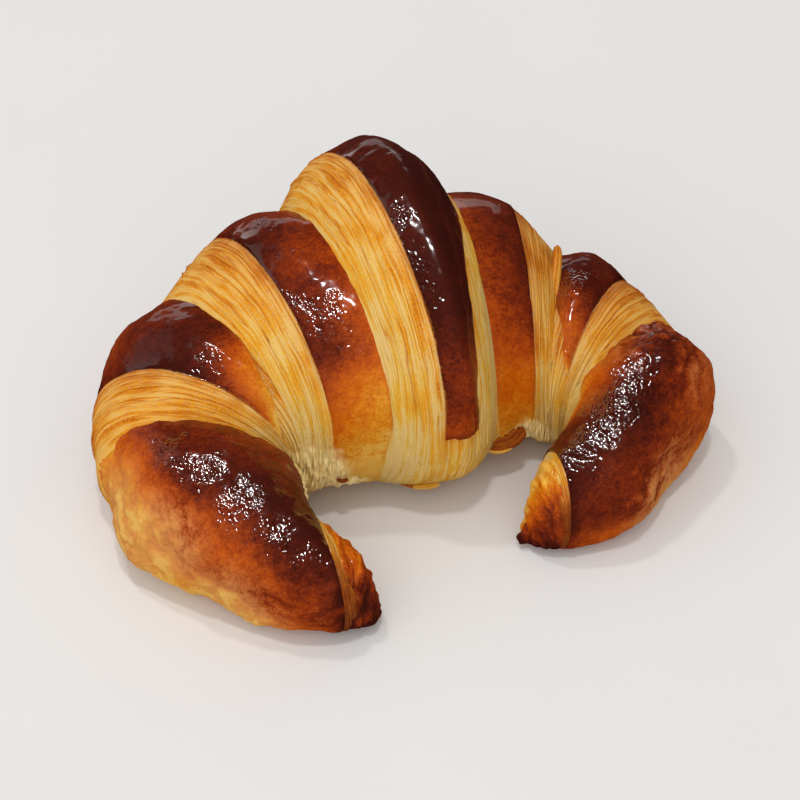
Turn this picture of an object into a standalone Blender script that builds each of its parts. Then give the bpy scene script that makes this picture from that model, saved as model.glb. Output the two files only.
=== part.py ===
"""Curved croissant: a crescent of seven overlapping wraps of laminated dough.

The dough is followed by upright section planes that fan round the inner side of
the crescent.  Each wrap is lofted through its own sections, from where it comes
out from under its neighbour, over its crest, to its lip, and down the convex cut
edge to the next wrap.  The wraps are then united into one solid and trimmed flat
where the croissant rests.  Units are metres; +Z is up and the horns point to -Y.
"""

from collections import namedtuple
from math import copysign, cos, pi, sin, sqrt

import bmesh
import bpy
from mathutils import Matrix, Vector

MM = 0.001

# A section plane, in millimetres: the plan points where the dough is widest, on the
# outer and on the inner side of the crescent, the height of its top, and how far its
# underside is lifted off the table.
Section = namedtuple("Section", "outer inner top lift", defaults=(0.0,))

# A wrap, outwards from the middle: its crests, its lip, the foot of its cut edge, and
# how convex that edge is, where 1 is straight.
Wrap = namedtuple("Wrap", "crests lip foot bulge")

# The middle wrap, the last one rolled, covers both of its neighbours.
MIDDLE_CREST = Section((-3, 45), (0, -38), 71)
MIDDLE_SIDES = {
    "left": Wrap((), Section((-13, 44), (-5, -37), 69), Section((-25, 36), (-15, -31), 57), 1.5),
    "right": Wrap((), Section((7, 43), (3, -36), 65), Section((16, 35), (10, -28), 52), 1.3),
}

# The other wraps. The last one of a side is its horn, whose foot is the tip.
SIDE_WRAPS = {
    "left": (
        Wrap((Section((-34, 37), (-21, -29), 57),),
             Section((-42, 34), (-28, -28), 54), Section((-57, 24), (-35, -26), 44), 1.2),
        Wrap((Section((-69, 16), (-36, -26), 44),),
             Section((-76, 4), (-37, -26), 40), Section((-79, -12), (-37, -27), 34), 1.5),
        Wrap((Section((-75, -34), (-36, -29), 36), Section((-59, -52), (-36, -31), 32),
              Section((-47, -60), (-37, -34), 29)),
             Section((-37, -64), (-38, -38), 25), Section((-28, -62), (-28, -52), 13, 1.5), 1),
    ),
    "right": (
        Wrap((Section((24, 33), (17, -26), 51),),
             Section((32, 29), (20, -26), 48), Section((41, 15), (23, -27), 38), 1.1),
        Wrap((Section((50, 10), (24, -27), 40),),
             Section((55, 0), (25, -28), 38), Section((61, -15), (26, -29), 33), 1.5),
        Wrap((Section((62, -33), (27, -31), 37), Section((46, -48), (25, -33), 33),
              Section((33, -56), (22, -35), 29)),
             Section((18, -57), (18, -37), 24), Section((11, -53), (11, -44), 11, 1), 1),
    ),
}

# Inner rolls of dough that come out of a horn's end, one further than the other: how far
# each goes from the lip to the tip, and its size where it comes out.
HORN_ROLLS = ((0.6, 0.86), (1.0, 0.82))

SECTION_POINTS = 28      # points round a section
CREST_STEPS = 3          # loft steps between two sections of a wrap's skin
EDGE_STEPS = 4           # loft steps down a cut edge
WAIST = 0.45             # height of the widest place, as a share of the top
SQUARENESS = 0.75        # how square the underside is: 1 is an ellipse
SINK = 0.08              # share of the underside that the flat base trims off
TUCK_REACH = 0.4         # how far a hidden end runs on under its neighbour
TUCK_SIZE = 0.86         # how much smaller a hidden end is
ROLL_STEPS = 5           # loft steps along an inner roll
ROLL_TAPER = 0.9         # how far an inner roll has closed at its end

TABLE_SIDE = 300 * MM    # block that trims the base, wider than the croissant
TABLE_THICKNESS = 50 * MM

CRUST_COLOUR = (0.42, 0.16, 0.035, 1.0)
CRUST_ROUGHNESS = 0.35


def mix(first, second, share):
    """Section part of the way from one section to another."""
    pairs = zip(first.outer + first.inner, second.outer + second.inner)
    x_out, y_out, x_in, y_in = (a + (b - a) * share for a, b in pairs)
    top = first.top + (second.top - first.top) * share
    lift = first.lift + (second.lift - first.lift) * share
    return Section((x_out, y_out), (x_in, y_in), top, lift)


def shrink(section, size):
    """The same section plane with the dough drawn in towards its middle."""
    middle = mix(section, Section(section.inner, section.outer, section.top, section.lift), 0.5)
    smaller = mix(middle, section, size)
    lift = section.lift + section.top * WAIST * (1 - size)
    return smaller._replace(top=section.top - section.top * (1 - WAIST) * (1 - size), lift=lift)


def skin(sections):
    """Smooth run of sections over a wrap's browned skin."""
    run = []
    for index in range(len(sections) - 1):
        before = sections[max(index - 1, 0)]
        start, end = sections[index], sections[index + 1]
        after = sections[min(index + 2, len(sections) - 1)]
        for step in range(CREST_STEPS):
            run.append(catmull_rom(before, start, end, after, step / CREST_STEPS))
    return run + [sections[-1]]


def catmull_rom(before, start, end, after, share):
    """Section on the smooth curve through four sections, between the middle two."""
    square, cube = share * share, share ** 3
    weights = ((-cube + 2 * square - share) / 2, (3 * cube - 5 * square + 2) / 2,
               (-3 * cube + 4 * square + share) / 2, (cube - square) / 2)
    rows = [(*s.outer, *s.inner, s.top, s.lift) for s in (before, start, end, after)]
    x_out, y_out, x_in, y_in, top, lift = (
        sum(weight * row[column] for weight, row in zip(weights, rows)) for column in range(6))
    return Section((x_out, y_out), (x_in, y_in), top, lift)


def cut_edge(wrap):
    """Sections down the convex cut edge of a wrap, from below its lip to its foot."""
    run = []
    for step in range(1, EDGE_STEPS + 1):
        share = step / EDGE_STEPS
        level = mix(wrap.lip, wrap.foot, share ** wrap.bulge)
        plan = mix(wrap.lip, wrap.foot, share)
        outer, inner = Vector(plan.outer), Vector(plan.inner)
        width = (Vector(level.outer) - Vector(level.inner)).length
        middle, half = (outer + inner) / 2, (outer - inner).normalized() * width / 2
        run.append(Section(tuple(middle + half), tuple(middle - half), level.top, level.lift))
    return run


def tuck(section, neighbour):
    """Hidden end of a wrap, under the skin of the neighbour that it meets."""
    return shrink(mix(section, neighbour, TUCK_REACH), TUCK_SIZE)


def middle_wrap():
    """Sections of the middle wrap, from its hidden left end to its hidden right end."""
    left, right = MIDDLE_SIDES["left"], MIDDLE_SIDES["right"]
    first = tuck(left.foot, SIDE_WRAPS["left"][0].crests[0])
    last = tuck(right.foot, SIDE_WRAPS["right"][0].crests[0])
    crest = skin([left.lip, MIDDLE_CREST, right.lip])
    return [first, *reversed(cut_edge(left)), *crest, *cut_edge(right), last]


def side_wrap(side, index):
    """Sections of one side wrap, outwards from its hidden end."""
    over = SIDE_WRAPS[side][index - 1] if index else MIDDLE_SIDES[side]
    wrap = SIDE_WRAPS[side][index]
    run = [tuck(over.foot, over.lip), *skin([over.foot, *wrap.crests, wrap.lip])]
    if wrap is SIDE_WRAPS[side][-1]:
        return run + [tuck(wrap.lip, wrap.foot)]
    return run + cut_edge(wrap) + [tuck(wrap.foot, SIDE_WRAPS[side][index + 1].crests[0])]


def horn_roll(side, reach, size):
    """Sections of an inner roll, from inside the horn to its own rounded end."""
    horn = SIDE_WRAPS[side][-1]
    run = [shrink(mix(horn.lip, horn.crests[-1], TUCK_REACH), size * TUCK_SIZE)]
    for step in range(ROLL_STEPS + 1):
        share = step / ROLL_STEPS
        closing = sqrt(1 - (ROLL_TAPER * share) ** 4)
        run.append(shrink(mix(horn.lip, horn.foot, reach * share), size * closing))
    return run


def section_outline(section, origin):
    """Closed outline of one section, in metres, round a slightly flattened oval."""
    outer, inner = Vector(section.outer), Vector(section.inner)
    middle, half = (outer + inner) / 2 - origin, (outer - inner) / 2
    waist = section.top * WAIST
    points = []
    for index in range(SECTION_POINTS):
        angle = 2 * pi * (index + 0.5) / SECTION_POINTS
        across, up = cos(angle), sin(angle)
        if up >= 0:
            height = waist + up * (section.top - waist)
        else:
            across = copysign(abs(across) ** SQUARENESS, across)
            depth = abs(up) ** SQUARENESS * (1 + SINK)
            height = waist - depth * (waist - section.lift)
        plan = middle + half * across
        points.append(Vector((plan.x, plan.y, height)) * MM)
    return points


def new_object(name, shape, collection):
    """Object in a collection, made from a bmesh."""
    mesh = bpy.data.meshes.new(name)
    shape.to_mesh(mesh)
    shape.free()
    thing = bpy.data.objects.new(name, mesh)
    collection.objects.link(thing)
    return thing


def loft(name, sections, origin, collection):
    """Closed solid through a run of sections."""
    shape = bmesh.new()
    rings = [[shape.verts.new(p) for p in section_outline(s, origin)] for s in sections]
    for ring, following in zip(rings, rings[1:]):
        for index in range(SECTION_POINTS):
            after = (index + 1) % SECTION_POINTS
            shape.faces.new((ring[index], ring[after], following[after], following[index]))
    shape.faces.new(rings[0])
    shape.faces.new(rings[-1])
    bmesh.ops.recalc_face_normals(shape, faces=shape.faces)
    wrap = new_object(name, shape, collection)
    wrap.data.shade_smooth()
    return wrap


def plan_centre(runs):
    """Middle of the plan rectangle that holds every section."""
    points = [Vector(p) for run in runs for s in run for p in (s.outer, s.inner)]
    low = Vector((min(p.x for p in points), min(p.y for p in points)))
    high = Vector((max(p.x for p in points), max(p.y for p in points)))
    return (low + high) / 2


def table_block(collection):
    """Block whose top is the table, which trims the base flat."""
    shape = bmesh.new()
    place = Matrix.Translation((0, 0, -TABLE_THICKNESS / 2))
    scale = Matrix.Diagonal((TABLE_SIDE, TABLE_SIDE, TABLE_THICKNESS, 1))
    bmesh.ops.create_cube(shape, size=1, matrix=place @ scale)
    return new_object("table_block", shape, collection)


def add_boolean(target, operand, operation):
    """Exact Boolean modifier of one object on another."""
    modifier = target.modifiers.new(f"{operation.lower()} {operand.name}", "BOOLEAN")
    modifier.operation = operation
    modifier.solver = "EXACT"
    modifier.object = operand


def crust_material():
    """Browned egg-washed crust."""
    material = bpy.data.materials.new("baked_crust")
    material.use_nodes = True
    shader = material.node_tree.nodes["Principled BSDF"]
    shader.inputs["Base Color"].default_value = CRUST_COLOUR
    shader.inputs["Roughness"].default_value = CRUST_ROUGHNESS
    shader.inputs["Metallic"].default_value = 0.0
    return material


def new_collection(name):
    """Empty collection linked to the scene."""
    collection = bpy.data.collections.new(name)
    bpy.context.scene.collection.children.link(collection)
    return collection


def build():
    """Croissant as one object, with its wraps and the table block as hidden operands."""
    for old in list(bpy.data.objects):
        bpy.data.objects.remove(old, do_unlink=True)
    shown, hidden = new_collection("croissant"), new_collection("croissant operands")
    runs = {}
    for side, wraps in SIDE_WRAPS.items():
        runs |= {f"{side}_wrap_{index + 1}": side_wrap(side, index) for index in range(len(wraps))}
        runs |= {f"{side}_roll_{index + 1}": horn_roll(side, *roll)
                 for index, roll in enumerate(HORN_ROLLS)}
    middle = middle_wrap()
    origin = plan_centre([middle, *runs.values()])
    croissant = loft("croissant", middle, origin, shown)
    croissant.data.materials.append(crust_material())
    for name, run in runs.items():
        add_boolean(croissant, loft(name, run, origin, hidden), "UNION")
    add_boolean(croissant, table_block(hidden), "DIFFERENCE")
    for operand in hidden.objects:
        operand.hide_render = True
        operand.display_type = "WIRE"


build()
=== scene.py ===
"""Looks of a curved croissant: seven wraps of laminated dough with egg-washed skins.

Every wrap is a closed shell with a fine grid of points, lofted through the sections
that the solid follows.  Each grid carries how far a point lies past its wrap's lip and
how brown it is.  A Geometry Nodes tree raises the layers, the lips and the creases
from those values, and one crust material is coloured by them.
"""

from collections import namedtuple
from math import ceil, cos, hypot, pi, radians, sin, sqrt

import bmesh
import bpy
import numpy as np
from bpy.props import FloatProperty, FloatVectorProperty, IntProperty, PointerProperty
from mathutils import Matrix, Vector


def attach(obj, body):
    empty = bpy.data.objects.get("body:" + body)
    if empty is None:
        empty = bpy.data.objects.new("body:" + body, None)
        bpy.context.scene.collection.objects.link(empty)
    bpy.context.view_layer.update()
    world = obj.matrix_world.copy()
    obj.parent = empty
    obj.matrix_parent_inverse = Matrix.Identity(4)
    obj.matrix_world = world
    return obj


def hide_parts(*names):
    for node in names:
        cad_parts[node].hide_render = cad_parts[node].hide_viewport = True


bl_info = {
    "name": "Croissant",
    "version": (1, 0, 0),
    "blender": (4, 5, 0),
    "location": "View3D > Sidebar > Croissant",
    "description": "Builds a laminated croissant with a browned, flaky crust",
    "category": "Add Mesh",
}

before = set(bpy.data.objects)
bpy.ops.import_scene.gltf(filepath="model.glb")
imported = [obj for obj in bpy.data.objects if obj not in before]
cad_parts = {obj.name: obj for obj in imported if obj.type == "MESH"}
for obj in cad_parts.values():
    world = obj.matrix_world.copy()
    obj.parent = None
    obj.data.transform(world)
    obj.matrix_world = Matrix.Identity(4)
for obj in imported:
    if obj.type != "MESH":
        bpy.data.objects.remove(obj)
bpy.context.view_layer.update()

MM = 0.001

# --- Shape of the wraps, in millimetres ---

# A section plane: the plan points where the dough is widest, on the outer and on the
# inner side of the crescent, the height of its top, and how far its underside is lifted.
Section = namedtuple("Section", "outer inner top lift", defaults=(0.0,))

# A wrap, outwards from the middle: its crests, its lip, the foot of its cut edge, and
# how convex that edge is, where 1 is straight.
Wrap = namedtuple("Wrap", "crests lip foot bulge")

MIDDLE_CREST = Section((-3, 45), (0, -38), 71)
MIDDLE_SIDES = {
    "left": Wrap((), Section((-13, 44), (-5, -37), 69), Section((-25, 36), (-15, -31), 57), 1.5),
    "right": Wrap((), Section((7, 43), (3, -36), 65), Section((16, 35), (10, -28), 52), 1.3),
}
SIDE_WRAPS = {
    "left": (
        Wrap((Section((-34, 37), (-21, -29), 57),),
             Section((-42, 34), (-28, -28), 54), Section((-57, 24), (-35, -26), 44), 1.2),
        Wrap((Section((-69, 16), (-36, -26), 44),),
             Section((-76, 4), (-37, -26), 40), Section((-79, -12), (-37, -27), 34), 1.5),
        Wrap((Section((-75, -34), (-36, -29), 36), Section((-59, -52), (-36, -31), 32),
              Section((-47, -60), (-37, -34), 29)),
             Section((-37, -64), (-38, -38), 25), Section((-28, -62), (-28, -52), 13, 1.5), 1),
    ),
    "right": (
        Wrap((Section((24, 33), (17, -26), 51),),
             Section((32, 29), (20, -26), 48), Section((41, 15), (23, -27), 38), 1.1),
        Wrap((Section((50, 10), (24, -27), 40),),
             Section((55, 0), (25, -28), 38), Section((61, -15), (26, -29), 33), 1.5),
        Wrap((Section((62, -33), (27, -31), 37), Section((46, -48), (25, -33), 33),
              Section((33, -56), (22, -35), 29)),
             Section((18, -56), (18, -37), 24), Section((11, -52), (11, -44), 11, 1), 1),
    ),
}
WAIST = 0.45             # height of the widest place, as a share of the top
SQUARENESS = 0.75        # how square the underside is: 1 is an ellipse
SINK = 0.08              # share of the underside that the flat base trims off
TUCK_REACH = 0.4         # how far a hidden end runs on under its neighbour
TUCK_SIZE = 0.86         # how much smaller a hidden end is
ROLL_TAPER = 0.93        # how far an inner roll has closed at its end
ROLL_CLOSING = (0.75, 0.5, 0.25, 0.05)   # sizes of the steps that close it
ROLL_LIFT = 0.4          # how much of its lift an inner roll keeps
STRIP_BULGE = 1.4        # how convex the strip behind a horn's lip is
STRIP_REACH = 0.36       # how far the strip's hidden end runs on
STRIP_SIZE = 0.688       # size of that end

SKIN_SPACING = 0.45      # between loft steps over a skin
EDGE_SPACING = 0.27      # between loft steps down a cut edge
ROUND_SPACING = 0.6      # between points round a section
TONGUE_END = 28          # height at which the middle wrap's skin ends on the inner side
TONGUE_ANGLES = (pi / 2, 1.45 * pi)      # that side, as angles round a section

# --- Browning, from 0, pale, to 100, nearly black ---

# Places round a section, in degrees from the outer side: low outside, outside, top,
# inside shoulder, inside flank and low inside.  The underside has one value of its own.
PLACES = (-35, 10, 85, 135, 165, 200)
UNDERSIDE = 40

MIDDLE_SKIN = ((55, 75, 94, 95, 78, 48),
               (55, 80, 100, 100, 82, 50),
               (55, 80, 100, 100, 80, 48))
SIDE_SKINS = {
    "left": (
        ((45, 60, 72, 50, 20, -15), (50, 70, 84, 66, 26, -12), (50, 75, 92, 84, 36, -5)),
        ((45, 65, 85, 5, -70, -50), (50, 75, 95, 20, -80, -60), (50, 80, 100, 50, -80, -60)),
        ((5, 18, 82, 78, 60, 30), (2, 20, 92, 84, 72, 45), (6, 46, 100, 86, 76, 55),
         (36, 74, 100, 88, 80, 64), (84, 94, 100, 95, 90, 80)),
    ),
    "right": (
        ((45, 62, 74, 64, 36, 0), (50, 72, 88, 78, 44, 2), (50, 76, 92, 85, 48, 2)),
        ((50, 70, 86, 36, -100, -80), (50, 75, 90, 44, -100, -80), (50, 80, 92, 50, -100, -80)),
        ((15, 48, 84, 24, -25, -25), (15, 54, 90, 42, -12, -20), (20, 66, 94, 60, 2, -10),
         (40, 78, 97, 84, 44, 25), (66, 92, 100, 98, 86, 70)),
    ),
}

# Browning of the cut edges, at the lip and at the foot.
MIDDLE_CUTS = {
    "left": ((60, 60, 52, 44, 38, 25), (60, 50, 38, 22, 12, 5)),
    "right": ((60, 60, 45, 30, 22, 20), (60, 50, 28, 10, 5, 5)),
}
SIDE_CUTS = {
    "left": (
        ((60, 60, 55, 40, 18, 2), (60, 50, 45, 25, 2, -5)),
        ((55, 52, 50, 42, 20, 10), (55, 52, 52, 38, 10, 2)),
        ((95, 85, 32, 20, 24, 40), (100, 95, 40, 25, 30, 45)),
    ),
    "right": (
        ((60, 60, 62, 52, 22, 10), (60, 50, 52, 38, 14, 4)),
        ((60, 60, 58, 44, 16, 6), (60, 50, 52, 28, 6, 2)),
        ((95, 85, 20, 2, 8, 30), (100, 92, 10, -5, 0, 20)),
    ),
}

# An inner roll of a horn: how far it reaches towards the foot of the horn's end, its size
# beside the horn's, how convex and how blunt it is, and its browning at the lip and at its end.
Roll = namedtuple("Roll", "reach size bulge blunt start end")
HORN_ROLLS = {
    "left": (
        Roll(0.66, 0.86, 1.8, 6, (90, 72, 32, 20, 20, 30), (97, 88, 60, 40, 40, 50)),
        Roll(1.04, 0.70, 4.0, 8, (92, 70, 20, 12, 22, 40), (100, 95, 80, 65, 75, 85)),
    ),
    "right": (
        Roll(0.58, 0.86, 1.8, 6, (88, 62, 2, -10, -10, 10), (97, 85, 25, 0, 0, 20)),
        Roll(1.02, 0.70, 3.0, 8, (92, 72, 2, -10, -5, 20), (100, 92, 52, 16, 22, 42)),
        Roll(1.30, 0.36, 1.0, 4, (95, 85, 70, 65, 65, 65), (100, 95, 80, 75, 75, 75)),
    ),
}

# How far a skin laps on over its cut edge at the browning places, in millimetres.
NO_LAP = (0, 0, 0, 0, 0, 0)
MIDDLE_LAP = (14, 14, 12, 2, 0, 0)

# How far the pale dough of the neighbour's cut edge runs on over the start of a wrap.
SIDE_STARTS = {
    "left": ((-2, -2, -2, -2, 0, 3), (-2, -2, -2, 2, 6, 8), (-2, -2, -2, 1, 5, 8)),
    "right": ((-2, -2, -2, -2, 0, 2), (-2, -2, -2, 3, 8, 9), (-2, -2, -2, 1, 5, 6)),
}

# How lumpy each wrap's skin is.
MIDDLE_LUMPS = 0.5
SIDE_LUMPS = {"left": (0.6, 0.8, 1.0), "right": (0.3, 0.8, 1.0)}

# Round spots, each with its middle and its radius in millimetres.
SPOT_CORE = 1.4          # strength in the middle of a spot, of which 1 is the most that counts
# Places where the egg wash has blistered.
BLISTERED = (((-19, -5, 50), 8), ((-23, -1, 51), 7), ((-14, -11, 47), 6), ((-45, -3, 40), 7),
             ((-42, -8, 38), 6), ((-57, -17, 34), 6), ((-52, -26, 34), 8), ((-46, -34, 31), 8),
             ((-40, -42, 27), 8), ((-36, -47, 22), 8), ((0, 1, 67), 7), ((0, -7, 64), 8),
             ((0, -13, 59), 8), ((0, -18, 54), 6), ((48, -28, 35), 10), ((40, -31, 31), 11),
             ((33, -37, 28), 10), ((27, -41, 23), 8), ((24, -43, 15), 7), ((46, -11, 35), 6),
             ((40, -14, 33), 6), ((44, 0, 38), 8))
# Torn pale places at the foot of the inner side, and crumpled places of the horns' skins.
TORN = (((-26, -17, 15), 13), ((-17, -17, 8), 7), ((27, -16, 10), 8))
CRUMPLES = (((-66, -18, 14), 20), ((-62, -30, 20), 16), ((-52, -44, 8), 18),
            ((-28, -58, 12), 12), ((56, -20, 30), 16), ((52, -42, 12), 18), ((14, -50, 10), 10))

# Loose bits of dough, and one dark piece that is painted shade of a hole: the points that each
# one follows on the finished croissant, its width and thickness, the way it faces, its browning,
# and the share of it that is pale crumb.
Shred = namedtuple("Shred", "path width thickness facing browning torn")
FRONT = (-0.2, -0.9, 0.4)
SHREDS_AND_HOLE_SHADE = (
    Shred(((-4.5, -13.2, 5.4), (-1.2, -16.6, 5), (3.4, -18.8, 5.4)), 3.4, 0.8, FRONT, 80, 0),
    Shred(((-1.5, -17.6, 4.4), (1.4, -18.9, 4.6), (4.4, -19.6, 5.4)), 1.4, 0.5, FRONT, 35, 0),
    Shred(((14.6, -13, 11.8), (17.2, -15.8, 11.2), (20.6, -16.9, 11.4), (23.4, -17, 12.6),
           (25.6, -15.4, 13.8)), 4.8, 0.9, FRONT, 95, 0),
    Shred(((16.6, -16.6, 9.7), (20.4, -18, 9.3), (24.2, -17.4, 10.8)), 0.8, 0.6, FRONT, 35, 0.2),
    Shred(((38, -0.4, 36.8), (39.8, 3.4, 37.8), (41.8, 7.7, 39.4), (43.3, 11.8, 41.4)),
          2.3, 2.4, (0, 0, 1), 60, 0),
    # Dark piece in the torn place: painted shade of a hole, darker than any browning, not a
    # loose bit of dough.
    Shred(((-19.6, -18, 13.4), (-18.4, -18.4, 12.7), (-17, -18.4, 13)), 1, 0.8, FRONT, 120, 0),
)
SHRED_STEPS = 30
SHRED_SIDES = 16
SHRED_BLUNTNESS = 6      # of its ends
SHRED_END = 0.02         # how open a shred still is at its ends
SHRED_LUMPS = 1.0
PAST_LIP = 0.01          # distance past a lip that makes all of a shred a cut edge, in metres

# --- Grain of the dough, in metres ---

TYPICAL_WIDTH = 17 * MM  # of a cut edge
LAYER_SPREAD = 0.6       # how far the layers spread with a wider edge: 1 keeps their number
CROWDING = 0.002         # how far the layers under a lip are pushed together
CROWDED = 0.003          # how far down from the lip they are
LIP_STEP = (-0.0001, 0.0002)     # past the lip, where the relief turns into that of a cut edge
LIP_BLUR = (-0.0001, 0.0003)     # where the colour does
UNDERCUT = 0.0018        # how far down from the lip the edge lies under it
ROUNDED = 0.0005         # how far back from the lip a skin is rounded off
ROUNDING = 0.00025       # how far it drops there
BROWNED_LIP = 0.0006     # how far back from the lip a skin is browner
GLOSSY_LIP = 0.0022      # how far back it is glossy
BROWNED_CUT = 0.003      # how far down from the lip a cut edge is browner
DOME_HEIGHT = 0.00019    # of a blister of egg wash
FIBRE_HEIGHT = 0.00006   # of the fibres of a cut edge
DOMES = 1150             # of them to the metre
DOME_BEND = (900, 0.0004)        # bends in their net to the metre, and how far it is bent
PINHOLES = 800           # dark pinholes of a skin, to the metre
CREASE_LUMPS = 1.6       # how lumpy a crumpled place is, beside the depth of its creases
TABLE_RELIEF = 0.003     # height over which the relief fades out towards the table

# A noise pattern: its strength either way, its features to the metre, and how fine and how
# rough they are.
Grain = namedtuple("Grain", "strength scale detail roughness", defaults=(2, 0.5))

SWELLINGS = Grain(1, 60, 1)
DENTS = Grain(1, 170, 3)
CREASES = Grain(1, 110, 3, 0.6)
RAGGED_LIP = Grain(0.0002, 900)
TORN_RIM = Grain(0.4, 300, 3)
BLISTERS = Grain(1.6, 200, 3)
DOME_SIZES = Grain(0.8, 500, 1)
WORMS = Grain(0.00014, 700, 1)
SKIN_PATCHES = Grain(0.28, 80, 4)
MOTTLE = Grain(0.2, 500, 4, 0.6)
SPECKLE = Grain(0.22, 1500, 2, 0.7)
PINHOLE_PATCHES = Grain(1, 120, 1)
CUT_PATCHES = Grain(1, 110, 3)
FIBRES = Grain(1, 2200, 2, 0.65)
PAPER = Grain(0.5, 25, 4)

# Patterns that follow the dough, with features round the croissant and down a cut edge.
LIP_WOBBLE = Grain(0.0005, (70, 1))      # only round it
SKIN_TEARS = Grain(0.0024, (300, 400), 4)
ROLL_FOLDS = Grain(1, (110, 230), 1)
ROLL_STREAKS = Grain(0.5, (60, 500), 3)
CRUMB_STRANDS = Grain(1, (130, 1100), 3, 0.6)
# How far the layers wander, in layers.
WANDERINGS = (Grain(2.4, (26, 60), 1), Grain(1.1, (14, 420), 1),
              Grain(0.3, (160, 300)))
# Patterns with features round the croissant and to a layer.
BANDS = Grain(1, (45, 1), 3, 0.6)
LAYER_GROUPS = Grain(1.6, (16, 0.22))
CUT_TEARS = Grain(0.0024, (300, 0.5), 4)
LINES = Grain(1, (30, 0.75), 1)
LINE_BREAKS = Grain(1, (40, 0.5))
LINE_START, BREAK_START, TEAR_START = 20, 3, 5     # where in the noise these begin

BARE_DOUGH = {"Roughness": 0.65, "Specular IOR Level": 0.04}
EGG_WASH = {"Roughness": 0.14, "Specular IOR Level": 1.0, "IOR": 1.95}

# --- Camera, light and floor, in metres ---

EYE = (-0.1034, -0.3220, 0.3536)
AIM = (0.0058, 0.0142, 0.0)
LENS = 92.7
SENSOR = 36.0
BACK_AZIMUTH = 18        # of the camera's own direction, in degrees from +Y towards +X
# Lights: azimuth from the camera's own direction and elevation, in degrees, distance, width
# and height, and watts.
KEY_LIGHT = (180, 81, 1.1, 0.07, 0.07, 2.4)
SECOND_LIGHT = (-57, 74, 1.1, 0.07, 0.07, 1.6)
BACKDROP = (-6, 6, 1.6, 1.5, 0.36, 2.4)
WINDOW = (-68, 26, 1.5, 1.2, 0.9, 0.6)   # it only gives the lips their highlights
ROOM_GLOW = 0.42         # brightness of the surroundings, which give no highlights
CEILING_GLOW = 0.2       # added overhead
SIDE_GLOW = 1.2          # added on one side
SIDE_AZIMUTH = -150      # of that side
GLOW_COLOUR = (1, 0.99, 0.98, 1)
TABLE_SIDE = 3.0
TABLE_ROUGHNESS = 0.7
TABLE_SHADE = 0.97       # brightness of its darker mottle

# --- User settings ---


def length(name, description, default):
    """Length property of the crust, in metres."""
    return FloatProperty(name=name, description=description, default=default,
                         min=0, unit="LENGTH", precision=5)


def colour(name, description, default):
    """Linear colour property."""
    return FloatVectorProperty(name=name, description=description, default=default,
                               size=3, min=0, max=1, subtype="COLOR")


class CrustSizes(bpy.types.PropertyGroup):
    """Sizes of the crust's relief."""

    layer: length("Layer", "Thickness of one layer of dough on a cut edge", 0.0011)
    ridge: length("Ridge", "How far the edge of a layer stands out", 0.00035)
    lip: length("Lip", "How far a skin stands over its cut edge", 0.0005)
    swell: length("Swell", "Height of the soft swellings of a skin", 0.0006)
    dimple: length("Dimple", "Height of the small dents of a skin", 0.0009)
    crease: length("Crease", "Depth of the creases of a crumpled skin", 0.0020)
    fold: length("Fold", "Height of the folds of the horns' inner rolls", 0.0015)
    seed: IntProperty(name="Seed", description="Seed of everything uneven", default=7)


class CrustColours(bpy.types.PropertyGroup):
    """Colours of the crust, from pale to dark."""

    cream: colour("Cream", "Unbrowned skin", (0.70, 0.38, 0.06))
    honey: colour("Honey", "Lightly browned skin", (0.62, 0.23, 0.010))
    orange: colour("Orange", "Browned skin", (0.53, 0.110, 0.002))
    russet: colour("Russet", "Well browned skin", (0.38, 0.056, 0.002))
    chestnut: colour("Chestnut", "Dark skin", (0.19, 0.021, 0.002))
    maroon: colour("Maroon", "Very dark skin", (0.085, 0.009, 0.003))
    umber: colour("Umber", "Darkest skin", (0.045, 0.006, 0.003))
    # Pale dull film of crumpled skin; it is partly a painted sheen standing in for the hazy
    # reflection on the horns.
    tan: colour("Tan", "Dull film on crumpled skin", (0.54, 0.31, 0.12))
    flake: colour("Flake", "Pale streaks of the layer edges", (0.65, 0.44, 0.16))
    seam: colour("Seam", "Lines between the layers", (0.46, 0.13, 0.008))
    dough: colour("Dough", "Palest layer edges", (0.69, 0.52, 0.19))
    butter: colour("Butter", "Pale layer edges", (0.63, 0.36, 0.036))
    amber: colour("Amber", "Golden layer edges", (0.63, 0.25, 0.012))
    toffee: colour("Toffee", "Brown layer edges", (0.42, 0.10, 0.006))
    rust: colour("Rust", "Darkest layer edges", (0.17, 0.035, 0.006))
    crumb: colour("Crumb", "Torn inside of the dough", (0.98, 0.80, 0.38))
    table: colour("Table", "Paper on the table", (0.71, 0.70, 0.69))


# --- Sections ---


def weighted(sections, weights):
    """Section whose numbers are weighted sums of those of other sections."""
    rows = [(*s.outer, *s.inner, s.top, s.lift) for s in sections]
    x_out, y_out, x_in, y_in, top, lift = (
        sum(weight * number for weight, number in zip(weights, column)) for column in zip(*rows))
    return Section((x_out, y_out), (x_in, y_in), top, lift)


def mix(first, second, share):
    """Section part of the way from one section to another."""
    return weighted((first, second), (1 - share, share))


def shrink(section, size):
    """The same section plane with the dough drawn in towards its middle."""
    middle = mix(section, Section(section.inner, section.outer, section.top, section.lift), 0.5)
    smaller = mix(middle, section, size)
    lift = section.lift + section.top * WAIST * (1 - size)
    return smaller._replace(top=section.top - section.top * (1 - WAIST) * (1 - size), lift=lift)


def steps_between(first, second, spacing):
    """Loft steps that keep a spacing between two sections, where they are furthest apart."""
    plan = max(hypot(a[0] - b[0], a[1] - b[1])
               for a, b in ((first.outer, second.outer), (first.inner, second.inner)))
    return ceil(hypot(plan, first.top - second.top) / spacing)


def catmull_rom(sections, share):
    """Section on the smooth curve through four sections, between the middle two."""
    square, cube = share * share, share ** 3
    return weighted(sections, ((-cube + 2 * square - share) / 2, (3 * cube - 5 * square + 2) / 2,
                               (-3 * cube + 4 * square + share) / 2, (cube - square) / 2))


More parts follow.
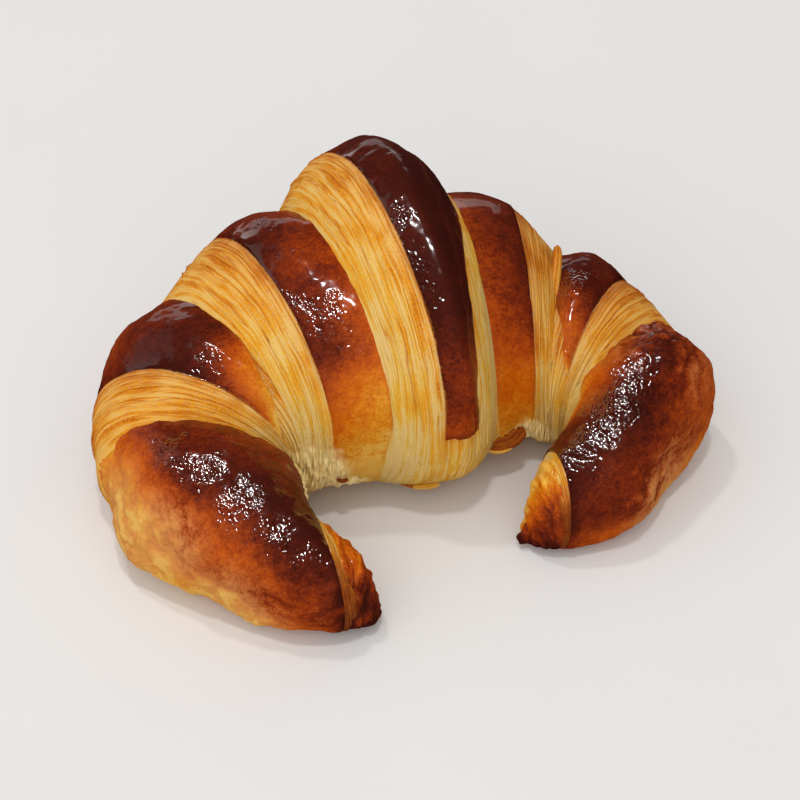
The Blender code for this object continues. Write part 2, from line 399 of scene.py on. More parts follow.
def cut_section(wrap, share):
    """Section part of the way down the convex cut edge of a wrap."""
    level = mix(wrap.lip, wrap.foot, share ** wrap.bulge)
    plan = mix(wrap.lip, wrap.foot, share)
    outer, inner = Vector(plan.outer), Vector(plan.inner)
    width = (Vector(level.outer) - Vector(level.inner)).length
    middle, half = (outer + inner) / 2, (outer - inner).normalized() * width / 2
    return Section(tuple(middle + half), tuple(middle - half), level.top, level.lift)


def tuck(section, neighbour):
    """Hidden end of a wrap, under the skin of the neighbour that it meets."""
    return shrink(mix(section, neighbour, TUCK_REACH), TUCK_SIZE)


# --- Runs of sections ---


class Run:
    """Sections of one wrap in order, with where its lips are and how brown it is."""

    def __init__(self):
        self.sections, self.skins, self.cuts, self.lips = [], [], [], []
        self.starts = None
        self.rolled = 0

    def add(self, *sections):
        """Adds sections, and returns the index of the last one."""
        self.sections += sections
        return len(self.sections) - 1

    def add_skin(self, sections, browning):
        """Adds a smooth skin through a few sections, each with its browning."""
        padded = [sections[0], *sections, sections[-1]]
        for index, values in enumerate(browning[:-1]):
            around = padded[index:index + 4]
            steps = steps_between(*around[1:3], SKIN_SPACING)
            self.skins.append((len(self.sections), values))
            self.add(*(catmull_rom(around, k / steps) for k in range(steps)))
        self.skins.append((self.add(sections[-1]), browning[-1]))

    def add_cut(self, wrap, browning, laps=NO_LAP, before=False):
        """Adds the cut edge that follows a wrap's lip, or that leads up to it."""
        steps = steps_between(wrap.lip, wrap.foot, EDGE_SPACING)
        order = range(steps, 0, -1) if before else range(1, steps + 1)
        start = len(self.sections) - 1
        end = self.add(*(cut_section(wrap, k / steps) for k in order))
        lip, foot = (end + 1, start + 1) if before else (start, end)
        self.cuts += sorted([(lip, browning[0]), (foot, browning[1])])
        self.lips.append((lip, foot, laps))


def middle_run():
    """Middle wrap, from its hidden left end to its hidden right end."""
    left, right = MIDDLE_SIDES["left"], MIDDLE_SIDES["right"]
    run = Run()
    run.add(tuck(left.foot, SIDE_WRAPS["left"][0].crests[0]))
    run.add_cut(left, MIDDLE_CUTS["left"], before=True)
    run.add_skin([left.lip, MIDDLE_CREST, right.lip], MIDDLE_SKIN)
    run.add_cut(right, MIDDLE_CUTS["right"], MIDDLE_LAP)
    run.add(tuck(right.foot, SIDE_WRAPS["right"][0].crests[0]))
    return run


def side_run(side, index):
    """Side wrap, outwards from its hidden end."""
    over = SIDE_WRAPS[side][index - 1] if index else MIDDLE_SIDES[side]
    wrap = SIDE_WRAPS[side][index]
    run = Run()
    run.add(tuck(over.foot, over.lip))
    run.starts = SIDE_STARTS[side][index]
    run.add_skin([over.foot, *wrap.crests, wrap.lip], SIDE_SKINS[side][index])
    cuts = SIDE_CUTS[side][index]
    if wrap is SIDE_WRAPS[side][-1]:    # a horn ends in a strip of layers that turns in
        strip = wrap._replace(foot=tuck(wrap.lip, wrap.foot), bulge=STRIP_BULGE)
        run.add_cut(strip, cuts)
        run.add(shrink(mix(wrap.lip, wrap.foot, STRIP_REACH), STRIP_SIZE))
    else:
        run.add_cut(wrap, cuts)
        run.add(tuck(wrap.foot, SIDE_WRAPS[side][index + 1].crests[0]))
    return run


def roll_run(side, roll):
    """Inner roll of a horn, from inside the horn to its own rounded end."""
    horn = SIDE_WRAPS[side][-1]
    run = Run()
    run.add(shrink(mix(horn.lip, horn.crests[-1], TUCK_REACH), roll.size * TUCK_SIZE))
    steps = steps_between(horn.lip, mix(horn.lip, horn.foot, roll.reach), EDGE_SPACING)
    shares = [step / steps for step in range(steps + 1)]
    sizes = [roll.size * sqrt(1 - (ROLL_TAPER * share) ** roll.blunt) for share in shares]
    sizes += [sizes[-1] * closing for closing in ROLL_CLOSING]
    for share, size in zip(shares + [1] * len(ROLL_CLOSING), sizes):
        level = shrink(cut_section(horn._replace(bulge=roll.bulge), roll.reach * share), size)
        last = run.add(level._replace(lift=level.lift * ROLL_LIFT))
    run.skins = run.cuts = [(0, roll.start), (last, roll.end)]
    run.lips = [(last, last, NO_LAP)]
    run.rolled = 1
    return run


def plan_centre():
    """Middle of the plan rectangle that holds the sections of all wraps."""
    runs = [middle_run()]
    runs += [side_run(side, k) for side, wraps in SIDE_WRAPS.items() for k in range(len(wraps))]
    points = np.array([p for run in runs for s in run.sections for p in (s.outer, s.inner)])
    return (points.min(0) + points.max(0)) / 2


# --- Shells ---


def section_points(run, angles, origin):
    """Grid of points round every section of a run, in metres."""
    outer, inner, top, lift = (np.array(column)[:, None] for column in zip(*run.sections))
    up, across = np.sin(angles), np.cos(angles)
    across = np.where(up < 0, np.sign(across) * np.abs(across) ** SQUARENESS, across)
    waist = top * WAIST
    depth = np.abs(up) ** SQUARENESS * (1 + SINK)
    height = np.where(up < 0, waist - depth * (waist - lift), waist + up * (top - waist))
    plan = (outer + inner) / 2 + (outer - inner) / 2 * across[None, :, None] - origin
    height = np.maximum(height, 0)
    return np.concatenate([plan, height[..., None]], 2) * MM


def place_weights(angles):
    """How much each browning place counts at each angle round a section."""
    places = np.radians((-90, *PLACES, 270))
    position = np.interp(angles, places, np.arange(len(places)))
    share = position % 1
    position = np.floor(position) + share * share * (3 - 2 * share)
    return np.maximum(0, 1 - np.abs(position[:, None] - np.arange(len(places))))


def browning_grid(marks, rows, angles):
    """Share of browning at every point of a grid, from its values at a few sections."""
    table = np.array([(UNDERSIDE, *values, UNDERSIDE) for _, values in marks]) / 100
    index = [mark for mark, _ in marks]
    along = np.stack([np.interp(np.arange(rows), index, column) for column in table.T], 1)
    return along @ place_weights(angles).T


def lip_distances(run, points, angles):
    """Distance of every point past the nearest lip, in metres, with and without the laps of
    the skins, and the width of its cut edge."""
    gaps = np.linalg.norm(np.diff(points, axis=0), axis=2)
    along = np.vstack([np.zeros(points.shape[1]), np.cumsum(gaps, 0)])
    distances, edges, widths = [], [], []
    for lip, foot, laps in run.lips:
        sign = 1 if foot >= lip else -1
        distances.append((along - along[lip]) * sign)
        edges.append(distances[-1] - place_weights(angles) @ (0, *laps, 0) * MM)
        widths.append(np.abs(along[foot] - along[lip]))
    nearest = np.argmax(distances, 0)
    width = np.take_along_axis(np.array(widths), nearest, 0)
    if run.starts:
        edges.append(place_weights(angles) @ (0, *run.starts, 0) * MM - (along - along[1]))
    return np.max(edges, 0), np.max(distances, 0), width


def around_distances(points, angles):
    """Distance round the section from its top, in metres, for one typical section."""
    middle = points[len(points) // 2]
    gaps = np.linalg.norm(middle - np.roll(middle, 1, 0), axis=1)
    gaps[0] = 0
    along = np.cumsum(gaps)
    along -= np.interp(pi / 2, angles, along)
    return np.broadcast_to(along, points.shape[:2])


def grid_values(run, points, angles, tongue):
    """Named values at every point of a run's grid."""
    edge, distance, width = lip_distances(run, points, angles)
    width = np.where(width > MM, width, TYPICAL_WIDTH)
    if tongue:
        inner_side = (angles > TONGUE_ANGLES[0]) & (angles < TONGUE_ANGLES[1])
        below = TONGUE_END * MM - points[..., 2]
        edge = np.where(inner_side & (below > -TONGUE_END * MM), np.maximum(edge, below), edge)
    rows = len(points)
    return {
        "edge": edge,
        "depth": distance * (TYPICAL_WIDTH / width) ** LAYER_SPREAD,
        "around": around_distances(points, angles),
        "skin_browning": browning_grid(run.skins, rows, angles),
        "cut_browning": browning_grid(run.cuts, rows, angles),
        "crumple": spot_weights(points, CRUMPLES),
        "torn": spot_weights(points, TORN),
        "blistered": spot_weights(points, BLISTERED),
        "rolled": np.full(edge.shape, float(run.rolled)),
    }


def spot_weights(points, spots):
    """How near every point is to one of a few round spots, from 0 outside to 1."""
    weight = np.zeros(points.shape[:2])
    for place, radius in spots:
        away = np.linalg.norm(points - np.array(place) * MM, axis=2) / (radius * MM)
        weight = np.maximum(weight, np.clip(SPOT_CORE - SPOT_CORE * away, 0, 1))
    return weight


def wrap_shells(name, runs, origin, tongue=False):
    """Mesh object of closed shells, one round each run."""
    grids = []
    for run in runs:
        section = max(run.sections, key=lambda s: s.top)
        around = pi * (hypot(*np.subtract(section.outer, section.inner)) + section.top) / 2
        sides = round(around / ROUND_SPACING)
        angles = 2 * pi * (np.arange(sides) + 0.5) / sides - pi / 2
        points = section_points(run, angles, origin)
        grids.append((points, grid_values(run, points, angles, tongue)))
    return add_shells(name, grids)


def shred_grid(shred):
    """Grid of points round a shred of dough, in metres, and its named values."""
    share = np.linspace(0, 1, SHRED_STEPS)
    path = np.array(shred.path) * MM
    knots = np.linspace(0, 1, len(path))
    middle = np.stack([np.polyval(np.polyfit(knots, column, len(path) - 1), share)
                       for column in path.T], 1)
    forward = np.gradient(middle, axis=0)
    across = np.cross(forward, shred.facing)
    across /= np.linalg.norm(across, axis=1)[:, None]
    out = np.cross(across, forward)
    out /= np.linalg.norm(out, axis=1)[:, None]
    angles = 2 * pi * np.arange(SHRED_SIDES) / SHRED_SIDES
    taper = np.sqrt(1 + SHRED_END - (2 * share - 1) ** SHRED_BLUNTNESS)[:, None] * MM / 2
    sideways = shred.width * taper * np.cos(angles)
    outwards = shred.thickness * taper * np.sin(angles)
    points = (middle[:, None] + across[:, None] * sideways[..., None]
              + out[:, None] * outwards[..., None])
    points[..., 2] = np.maximum(points[..., 2], 0)
    plain = np.zeros(points.shape[:2])
    browning = plain + shred.browning / 100
    values = dict.fromkeys(("crumple", "rolled", "blistered"), plain)
    values |= {"edge": plain + PAST_LIP, "torn": plain + shred.torn, "skin_browning": browning,
               "cut_browning": browning, "depth": sideways,
               "around": np.broadcast_to(middle[:, 2:], plain.shape)}
    return points, values


def add_shells(name, grids):
    """Mesh object of closed shells, each a grid of points with its named values."""
    verts, faces, values = [], [], {}
    count = 0
    for points, named in grids:
        for key, grid in named.items():
            values.setdefault(key, []).append(np.ravel(grid))
        rows, sides = points.shape[:2]
        verts.append(points.reshape(-1, 3))
        faces += grid_faces(rows, sides, count)
        count += rows * sides
    mesh = bpy.data.meshes.new(name)
    mesh.from_pydata(np.concatenate(verts).tolist(), [], faces)
    for key, parts in values.items():
        attribute = mesh.attributes.new(key, "FLOAT", "POINT")
        attribute.data.foreach_set("value", np.concatenate(parts).astype(np.float32))
    turn_outwards(mesh)
    mesh.shade_smooth()
    return add_object(name, mesh)


def add_object(name, data):
    """Object in the scene, with the given mesh, light or camera."""
    thing = bpy.data.objects.new(name, data)
    bpy.context.scene.collection.objects.link(thing)
    return thing


def grid_faces(rows, sides, first):
    """Faces of a closed shell over a grid of points, with a cap at each end."""
    ids = np.arange(rows * sides).reshape(rows, sides) + first
    after = np.roll(ids, -1, 1)
    quads = np.stack([ids[:-1], after[:-1], after[1:], ids[1:]], 2).reshape(-1, 4)
    return quads.tolist() + [ids[0].tolist(), ids[-1][::-1].tolist()]


def turn_outwards(mesh):
    """Makes the faces of every closed shell point outwards."""
    shape = bmesh.new()
    shape.from_mesh(mesh)
    bmesh.ops.recalc_face_normals(shape, faces=shape.faces)
    shape.to_mesh(mesh)
    shape.free()


# --- Node trees as expressions ---


def arithmetic(operation, swapped=False):
    """Method of Value that adds a Math node."""
    def method(self, other):
        return self.graph.math(operation, *((other, self) if swapped else (self, other)))
    return method


class Value:
    """Socket of a node tree that arithmetic can be written with."""

    def __init__(self, graph, socket):
        self.graph, self.socket = graph, socket

    __add__ = __radd__ = arithmetic("ADD")
    __sub__ = arithmetic("SUBTRACT")
    __rsub__ = arithmetic("SUBTRACT", swapped=True)
    __mul__ = __rmul__ = arithmetic("MULTIPLY")
    __truediv__ = arithmetic("DIVIDE")
    __pow__ = arithmetic("POWER")


class Graph:
    """Node tree whose nodes are added by expressions."""

    def __init__(self, tree):
        self.tree = tree
        self.in_geometry = tree.bl_idname == "GeometryNodeTree"

    def add(self, kind, settings=None, inputs=None, output=0):
        """Adds a node with its settings, then the values or links of its sockets."""
        node = self.tree.nodes.new(kind)
        for name, value in (settings or {}).items():
            if name == "stops":
                set_stops(node.color_ramp, value)
            else:
                setattr(node, name, value)
        for key, value in (inputs or {}).items():
            if isinstance(value, Value):
                self.tree.links.new(value.socket, node.inputs[key])
            else:
                node.inputs[key].default_value = value
        return Value(self, node.outputs[output]) if node.outputs else node

    def math(self, operation, *values):
        """Math node on values or numbers."""
        return self.add("ShaderNodeMath", {"operation": operation}, dict(enumerate(values)))

    def absolute(self, value):
        """Size of a value, whatever its sign."""
        return self.math("ABSOLUTE", value)

    def vector_math(self, operation, inputs, output=0):
        """Vector Math node."""
        return self.add("ShaderNodeVectorMath", {"operation": operation}, inputs, output)

    def attribute(self, name):
        """Named value of the mesh."""
        if self.in_geometry:
            return self.add("GeometryNodeInputNamedAttribute", {"data_type": "FLOAT"},
                            {"Name": name})
        return self.add("ShaderNodeAttribute", {"attribute_name": name}, output=2)

    def place(self):
        """Position on the object, in metres."""
        if self.in_geometry:
            return self.add("GeometryNodeInputPosition")
        return self.add("ShaderNodeTexCoord", output=3)

    def vector(self, x, y, z=0.0):
        """Vector from three values."""
        return self.add("ShaderNodeCombineXYZ", inputs={0: x, 1: y, 2: z})

    def noise(self, vector, grain, scale):
        """Smooth noise, as strong as its grain either way."""
        inputs = {"Vector": vector, "Scale": scale, "Detail": grain.detail,
                  "Roughness": grain.roughness}
        noise = self.add("ShaderNodeTexNoise", {"noise_dimensions": "3D"}, inputs) * 2.0 - 1.0
        return noise * grain.strength

    def spread(self, grain, place):
        """Noise that runs through the dough."""
        return self.noise(place, grain, grain.scale)

    def follow(self, grain, around, along, seed=0.0, start=0.0):
        """Noise that follows the dough round the croissant and down a cut edge."""
        x_scale, y_scale = grain.scale
        place = self.vector(around * x_scale, along * y_scale + start, seed)
        return self.noise(place, grain, 1.0)

    def bent(self, place, scale, size):
        """Position moved a little this way and that."""
        push = self.add("ShaderNodeTexNoise", {"noise_dimensions": "3D"},
                        {"Vector": place, "Scale": scale, "Detail": 1.0}, output=1)
        push = self.vector_math("SCALE", {0: push, "Scale": size})
        return self.vector_math("ADD", {0: place, 1: push})

    def cells(self, vector, scale):
        """Distance to the nearest of scattered points, in cells."""
        return self.add("ShaderNodeTexVoronoi", inputs={"Vector": vector, "Scale": scale})

    def fade(self, distance, reach):
        """Falls from 1 as a distance grows, or as it shrinks where the reach is negative."""
        return self.math("EXPONENT", distance / -reach)

    def ramp_up(self, value, low, high):
        """Smooth step from 0 at low to 1 at high."""
        inputs = {"Value": value, "From Min": low, "From Max": high}
        return self.add("ShaderNodeMapRange", {"interpolation_type": "SMOOTHSTEP"}, inputs)

    def mix(self, share, first, second):
        """Number between two numbers."""
        return first + (second - first) * share

    def blend(self, share, first, second):
        """Colour between two colours, each a value or three numbers."""
        first, second = (c if isinstance(c, Value) else (*c, 1.0) for c in (first, second))
        return self.add("ShaderNodeMix", {"data_type": "RGBA"},
                        {0: share, 6: first, 7: second}, output=2)


def set_stops(ramp, stops):
    """Sets a ramp's stops, each a position and a colour."""
    while len(ramp.elements) < len(stops):
        ramp.elements.new(1.0)
    for element, (position, tint) in zip(ramp.elements, stops):
        element.position = position
        element.color = (*tint, 1.0)


# --- Relief ---

TREE_SIZES = ("layer", "ridge", "lip", "swell", "dimple", "crease", "fold")


def layer_shape(graph, layers, around):
    """How far a layer stands out, and how near a point is to a line between two layers."""
    band = graph.follow(BANDS, around, layers)
    fold = graph.absolute(graph.follow(LINES, around, layers, start=LINE_START))
    strength = graph.follow(LINE_BREAKS, around, layers, BREAK_START)
    return band, (1 - graph.ramp_up(fold, 0, 0.07)) * graph.ramp_up(strength, -0.25, 0.2)


def relief_tree():
    """Tree that raises layers, lips, swellings, creases and dents on a wrap."""
    tree = bpy.data.node_groups.get("crust_relief")
    if tree:
        return tree
    tree = bpy.data.node_groups.new("crust_relief", "GeometryNodeTree")
    inputs = [("Geometry", "Geometry"), *((name.title(), "Float") for name in TREE_SIZES),
              ("Seed", "Float"), ("Material", "Material")]
    for name, kind in inputs:
        socket = tree.interface.new_socket(name, in_out="INPUT", socket_type="NodeSocket" + kind)
        if name.lower() in TREE_SIZES:
            socket.subtype = "DISTANCE"
    tree.interface.new_socket("Geometry", in_out="OUTPUT", socket_type="NodeSocketGeometry")
    fill_relief(Graph(tree))
    return tree


def fill_relief(graph):
    """Nodes of the relief tree."""
    node = graph.tree.nodes.new("NodeGroupInput")
    given = {socket.name: Value(graph, socket) for socket in node.outputs if socket.name}
    seed, around = given["Seed"], graph.attribute("around")
    place, depth = graph.place(), graph.attribute("depth")
    edge = graph.attribute("edge") + graph.follow(LIP_WOBBLE, around, seed)
    crowded = 1 - graph.fade(graph.math("MAXIMUM", depth, 0), CROWDED)
    layers = (depth + crowded * CROWDING) / given["Layer"]
    for wandering in WANDERINGS:
        layers = layers + graph.follow(wandering, around, depth, seed)
    cut = cut_relief(graph, given, layers, around, edge)
    skin = skin_relief(graph, given, place, around, edge)
    on_cut = graph.ramp_up(edge, *LIP_STEP)
    height = graph.add("ShaderNodeSeparateXYZ", inputs={0: place}, output=2)
    grounded = graph.ramp_up(height, 0, TABLE_RELIEF)
    offset = graph.mix(on_cut, skin, cut) * grounded
    normal = graph.add("GeometryNodeInputNormal")
    move = graph.vector_math("SCALE", {0: normal, "Scale": offset})
    steps = (("StoreNamedAttribute", {"Name": "edge", "Value": edge}),
             ("StoreNamedAttribute", {"Name": "layers", "Value": layers}),
             ("SetPosition", {"Offset": move}),
             ("SetPosition", {"Position": above_table(graph)}),
             ("RealizeInstances", {}),
             ("SetMaterial", {"Material": given["Material"]}))
    shape = given["Geometry"]
    for kind, inputs in steps:
        shape = graph.add("GeometryNode" + kind, inputs={"Geometry": shape, **inputs})
    graph.add("NodeGroupOutput", inputs={0: shape})


def above_table(graph):
    """Position that is never lower than the table."""
    split = graph.tree.nodes.new("ShaderNodeSeparateXYZ")
    graph.tree.links.new(graph.place().socket, split.inputs[0])
    x, y, z = (Value(graph, socket) for socket in split.outputs)
    return graph.vector(x, y, graph.math("MAXIMUM", z, 0))


def cut_relief(graph, given, layers, around, edge):
    """Height of a cut edge: rounded layers, some prouder than others, below the lip."""
    band, line = layer_shape(graph, layers, around)
    groups = graph.follow(LAYER_GROUPS, around, layers, given["Seed"])
    tears = graph.follow(CUT_TEARS, around, layers, TEAR_START) * graph.attribute("torn")
    return ((band * 1.5 - line * 0.5 + groups) * given["Ridge"]
            - graph.fade(edge, UNDERCUT) * given["Lip"] + tears)


def skin_relief(graph, given, place, around, edge):
    """Height of a skin: swellings, dents, creases and folds, rounded off at the lip."""
    depth, swelling = graph.attribute("depth"), graph.spread(SWELLINGS, place)
    crease = graph.absolute(graph.spread(CREASES, place)) ** 0.6 - 0.4
    crease = (crease + swelling * CREASE_LUMPS) * graph.attribute("crumple") * given["Crease"]
    tears = graph.follow(SKIN_TEARS, around, depth, TEAR_START) * graph.attribute("torn")
    folds = graph.absolute(graph.follow(ROLL_FOLDS, around, depth, given["Seed"]))
    return (swelling * given["Swell"] + graph.spread(DENTS, place) * given["Dimple"] + crease
            - graph.fade(edge, -ROUNDED) * ROUNDING + tears
            + folds * given["Fold"] * graph.attribute("rolled"))


# --- Crust material ---


def crust_material(colours):
    """Egg-washed skin and cut layers, told apart by the distance past the lip."""
    material = bpy.data.materials.get("egg_washed_crust")
    if material:
        return material
    material = bpy.data.materials.new("egg_washed_crust")
    material.use_nodes = True
    material.node_tree.nodes.clear()
    graph = Graph(material.node_tree)
    place, edge = graph.place(), graph.attribute("edge")
    on_cut = graph.ramp_up(edge + graph.spread(RAGGED_LIP, place), *LIP_BLUR)
    skin, browning = skin_colour(graph, colours, place, edge)
    cut, cut_height = cut_colour(graph, colours, place, edge)
    torn = graph.ramp_up(graph.attribute("torn") + graph.spread(TORN_RIM, place), 0.2, 0.7)
    strands = graph.follow(CRUMB_STRANDS, graph.attribute("around"), graph.attribute("depth"))
    crumb = graph.blend(graph.ramp_up(strands, -0.05, 0.35), colours.crumb, colours.dough)
    tint = graph.blend(torn * 0.9, graph.blend(on_cut, skin, cut), crumb)
    blistered = graph.attribute("blistered") * 1.3 + graph.spread(BLISTERS, place)
    blistered = graph.ramp_up(blistered, 0.35, 0.85)
    normal = bumps(graph, place, on_cut, cut_height, blistered)
    shared = {"Base Color": tint, "Normal": normal}
    matte = graph.add("ShaderNodeBsdfPrincipled", inputs=shared | BARE_DOUGH)
    gloss = graph.add("ShaderNodeBsdfPrincipled", inputs=shared | EGG_WASH)
    washed = (1 - on_cut) * (1 - torn) * (browning * 0.7 + 0.3)
    glossy = graph.math("MAXIMUM", blistered, graph.fade(edge, -GLOSSY_LIP)) * 0.8 + 0.2
    mixed = graph.add("ShaderNodeMixShader", inputs={0: washed * glossy, 1: matte, 2: gloss})
    graph.add("ShaderNodeOutputMaterial", inputs={0: mixed})
    return material


def skin_colour(graph, colours, place, edge):
    """Colour of a skin, with a pale film on crumpled places that is partly a painted sheen, and
    how brown it is.
    """
    around, depth = graph.attribute("around"), graph.attribute("depth")
    base, crumple = graph.attribute("skin_browning"), graph.attribute("crumple")
    calm = graph.ramp_up(base, 1.1, 0.7) * 0.7 + 0.3
    mottle = graph.spread(MOTTLE, place) * calm
    spots = (graph.spread(SKIN_PATCHES, place) + graph.spread(SPECKLE, place)) * calm + mottle
    rim = graph.fade(edge, -BROWNED_LIP) * 0.06
    streaks = graph.follow(ROLL_STREAKS, around, depth) * graph.attribute("rolled")
    wrinkles = 0.12 - graph.absolute(graph.spread(CREASES, place))
    level = base + spots + rim + streaks + wrinkles * crumple * 1.2
    browning = graph.math("MINIMUM", graph.math("MAXIMUM", level, 0), 1)
    pinholes = 1 - graph.ramp_up(graph.cells(place, PINHOLES), 0.08, 0.16)
    pinholes = pinholes * graph.ramp_up(graph.spread(PINHOLE_PATCHES, place), -0.1, 0.3)
    stops = ((0, colours.cream), (0.15, colours.honey), (0.35, colours.orange),
             (0.55, colours.russet), (0.75, colours.chestnut), (0.9, colours.maroon),
             (1, colours.umber))
    tint = graph.add("ShaderNodeValToRGB", {"stops": stops}, {0: level - pinholes * 0.22})
    # Pale dull film on crumpled places: partly the real matte skin, partly painted sheen for the
    # horns' hazy reflection.
    dull_film_and_sheen = graph.ramp_up(crumple + mottle, 0, 0.9)
    dull_film_and_sheen = dull_film_and_sheen * graph.ramp_up(browning, 0.75, 0.35) * 0.4
    return graph.blend(dull_film_and_sheen, tint, colours.tan), browning


def cut_colour(graph, colours, place, edge):
    """Colour of a cut edge and the height of its fibres."""
    band, line = layer_shape(graph, graph.attribute("layers"), graph.attribute("around"))
    patches, fibres = graph.spread(CUT_PATCHES, place), graph.spread(FIBRES, place)
    browning = graph.attribute("cut_browning")
    level = (browning + band * 0.45 + patches * 0.25 + fibres * 0.4
             + graph.fade(edge, BROWNED_CUT) * 0.25)
    stops = ((0, colours.dough), (0.22, colours.butter), (0.5, colours.amber),
             (0.75, colours.toffee), (1, colours.rust))
    base = graph.add("ShaderNodeValToRGB", {"stops": stops}, {0: level})
    streaks = graph.ramp_up(fibres * 0.7 - band - patches * 0.4, -0.12, 0.25)
    pale = graph.ramp_up(browning, 0.8, 0.3) * 0.85
    shade = graph.ramp_up(browning, 0, 0.35) * 0.55 + 0.25
    tint = graph.blend(streaks * pale, base, colours.flake)
    return graph.blend(line * shade, tint, colours.seam), (fibres - line) * FIBRE_HEIGHT


def bumps(graph, place, on_cut, cut_height, blistered):
    """Normal with fine domes where the egg wash has blistered and fibres on the cut edges."""
    domes = graph.cells(graph.bent(place, *DOME_BEND), DOMES) ** 2
    domes = domes * (graph.spread(DOME_SIZES, place) + 1) * -DOME_HEIGHT
    height = graph.mix(on_cut, (domes + graph.spread(WORMS, place)) * blistered, cut_height)
    return graph.add("ShaderNodeBump",
                     inputs={"Strength": 1, "Distance": 1, "Height": height})


# --- Operators ---


def finish_wrap(thing, scene, lumps):
    """Applies the relief to a wrap's mesh, and fastens the wrap to the model."""
    modifier = thing.modifiers.new("relief", "NODES")
    modifier.node_group = relief_tree()
    sizes = scene.crust_sizes
    values = {name.title(): getattr(sizes, name) for name in TREE_SIZES}
    values |= {"Dimple": sizes.dimple * lumps, "Seed": float(sizes.seed),
               "Material": crust_material(scene.crust_colours)}
    for item in modifier.node_group.interface.items_tree:
        if item.in_out == "INPUT" and item.name in values:
            modifier[item.identifier] = values[item.name]
    depsgraph = bpy.context.evaluated_depsgraph_get()
    mesh = bpy.data.meshes.new_from_object(thing.evaluated_get(depsgraph))
    thing.modifiers.clear()
    thing.data = mesh
    mesh.name = thing.name
    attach(thing, "root")
    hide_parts("croissant")


class CROISSANT_OT_middle_wrap(bpy.types.Operator):
    """Add the tall middle wrap, which covers both of its neighbours"""

    bl_idname = "croissant.middle_wrap"
    bl_label = "Middle Wrap"

    def execute(self, context):
        wrap = wrap_shells("wrap_middle", [middle_run()], plan_centre(), True)
        finish_wrap(wrap, context.scene, MIDDLE_LUMPS)
        return {"FINISHED"}


class CROISSANT_OT_side_wraps(bpy.types.Operator):
    """Add the two wraps on each side of the middle one"""

    bl_idname = "croissant.side_wraps"
    bl_label = "Side Wraps"

    def execute(self, context):
        origin = plan_centre()
        for side, wraps in SIDE_WRAPS.items():
            for index in range(len(wraps) - 1):
                name = f"wrap_{side}_{index + 1}"
                wrap = wrap_shells(name, [side_run(side, index)], origin)
                finish_wrap(wrap, context.scene, SIDE_LUMPS[side][index])
        return {"FINISHED"}


class CROISSANT_OT_horns(bpy.types.Operator):
    """Add the two horns with the inner rolls that come out of their ends"""

    bl_idname = "croissant.horns"
    bl_label = "Horns"

    def execute(self, context):
        origin = plan_centre()
        for side, wraps in SIDE_WRAPS.items():
            runs = [side_run(side, len(wraps) - 1)]
            runs += [roll_run(side, roll) for roll in HORN_ROLLS[side]]
            horn = wrap_shells(f"horn_{side}", runs, origin)
            finish_wrap(horn, context.scene, SIDE_LUMPS[side][-1])
        return {"FINISHED"}


class CROISSANT_OT_shreds(bpy.types.Operator):
    """Add the loose flakes and the torn shreds of dough at the edges, and a dark piece that is
    painted shade of a hole
    """

    bl_idname = "croissant.shreds"
    bl_label = "Shreds"

    def execute(self, context):
        shreds = add_shells("torn_shreds_and_painted_hole_shade", [shred_grid(shred) for shred in SHREDS_AND_HOLE_SHADE])
        finish_wrap(shreds, context.scene, SHRED_LUMPS)
        return {"FINISHED"}


class CROISSANT_OT_stage(bpy.types.Operator):
    """Add the pale table, the soft lights and the camera"""

    bl_idname = "croissant.stage"
    bl_label = "Stage"

    def execute(self, context):
        add_table(context.scene.crust_colours)
        add_light("key", *KEY_LIGHT)
        add_light("second", *SECOND_LIGHT)
        add_light("backdrop", *BACKDROP).visible_camera = False
        window = add_light("window", *WINDOW)
        window.visible_camera = window.visible_diffuse = False
        add_world(context.scene)
        add_camera(context.scene)
        context.scene.view_settings.view_transform = "Standard"
        return {"FINISHED"}


def add_table(colours):
    """Wide pale table top with a faint mottle."""
    mesh = bpy.data.meshes.new("table")
    half = TABLE_SIDE / 2
    corners = [(-half, -half, 0), (half, -half, 0), (half, half, 0), (-half, half, 0)]
    mesh.from_pydata(corners, [], [(0, 1, 2, 3)])
    table = add_object("table", mesh)
    material = bpy.data.materials.new("table_paper")
    material.use_nodes = True
    graph = Graph(material.node_tree)
    shader = material.node_tree.nodes["Principled BSDF"]
    level = graph.spread(PAPER, graph.place()) + 0.5
    tint = graph.blend(level, colours.table, [c * TABLE_SHADE for c in colours.table])
    graph.tree.links.new(tint.socket, shader.inputs["Base Color"])
    shader.inputs["Roughness"].default_value = TABLE_ROUGHNESS
    mesh.materials.append(material)
    table.visible_glossy = False


def add_light(name, azimuth, elevation, distance, width, height, watts):
    """Soft light, placed by its direction from the croissant and aimed at it."""
    heading = radians(BACK_AZIMUTH + azimuth)
    level = radians(elevation)
    away = Vector((sin(heading) * cos(level), cos(heading) * cos(level), sin(level)))
    data = bpy.data.lights.new(name, "AREA")
    data.shape, data.energy = "RECTANGLE", watts
    data.size, data.size_y = width, height
    lamp = add_object(name, data)
    lamp.location = away * distance
    lamp.rotation_euler = away.to_track_quat("Z", "Y").to_euler()
    return lamp


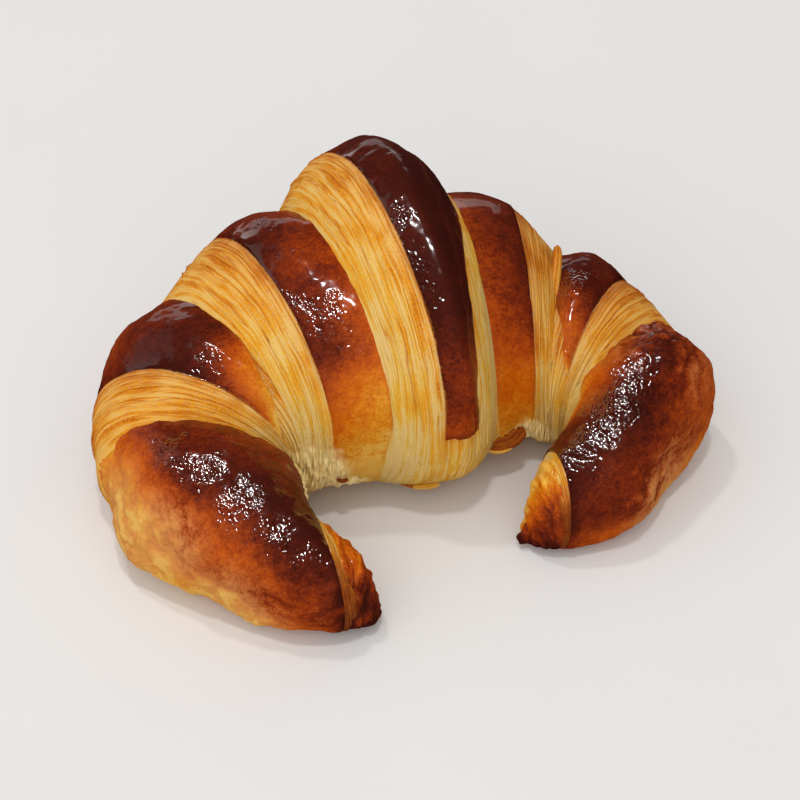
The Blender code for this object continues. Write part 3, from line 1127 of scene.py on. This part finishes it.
def add_world(scene):
    """Soft light from all around, strongest from overhead and from one side."""
    world = bpy.data.worlds.new("studio")
    scene.world = world
    world.use_nodes = True
    graph = Graph(world.node_tree)
    direction = graph.add("ShaderNodeTexCoord")
    height = graph.add("ShaderNodeSeparateXYZ", inputs={0: direction}, output=2)
    ceiling = graph.ramp_up(height, 0.3, 1.0)
    heading = radians(BACK_AZIMUTH + SIDE_AZIMUTH)
    facing = graph.vector_math("DOT_PRODUCT",
                               {0: direction, 1: (sin(heading), cos(heading), 0.0)}, output=1)
    side = graph.ramp_up(facing, -0.2, 1.0)
    background = world.node_tree.nodes["Background"]
    background.inputs["Color"].default_value = GLOW_COLOUR
    strength = ceiling * CEILING_GLOW + side * SIDE_GLOW + ROOM_GLOW
    graph.tree.links.new(strength.socket, background.inputs["Strength"])
    world.cycles_visibility.glossy = False


def add_camera(scene):
    """Camera in front of the croissant, looking down at it."""
    data = bpy.data.cameras.new("camera")
    data.lens, data.sensor_width = LENS, SENSOR
    camera = add_object("camera", data)
    camera.location = EYE
    camera.rotation_euler = (Vector(EYE) - Vector(AIM)).to_track_quat("Z", "Y").to_euler()
    scene.camera = camera


OPERATORS = (CROISSANT_OT_middle_wrap, CROISSANT_OT_side_wraps, CROISSANT_OT_horns,
             CROISSANT_OT_shreds, CROISSANT_OT_stage)


class CROISSANT_PT_panel(bpy.types.Panel):
    """Sidebar panel with the croissant's sizes, colours and pieces"""

    bl_idname = "CROISSANT_PT_panel"
    bl_label = "Croissant"
    bl_space_type = "VIEW_3D"
    bl_region_type = "UI"
    bl_category = "Croissant"

    def draw(self, context):
        for group in (context.scene.crust_sizes, context.scene.crust_colours):
            for name in group.__annotations__:
                self.layout.prop(group, name)
        for operator in OPERATORS:
            self.layout.operator(operator.bl_idname)


CLASSES = (CrustSizes, CrustColours, *OPERATORS, CROISSANT_PT_panel)


def register():
    """Registers the classes and the scene's settings."""
    for item in CLASSES:
        bpy.utils.register_class(item)
    bpy.types.Scene.crust_sizes = PointerProperty(type=CrustSizes)
    bpy.types.Scene.crust_colours = PointerProperty(type=CrustColours)


def unregister():
    """Removes the scene's settings and the classes."""
    del bpy.types.Scene.crust_colours
    del bpy.types.Scene.crust_sizes
    for item in reversed(CLASSES):
        bpy.utils.unregister_class(item)


def main():
    """Builds the croissant and its stage."""
    register()
    for operator in OPERATORS:
        group, name = operator.bl_idname.split(".")
        getattr(getattr(bpy.ops, group), name)()


if __name__ == "__main__":
    main()
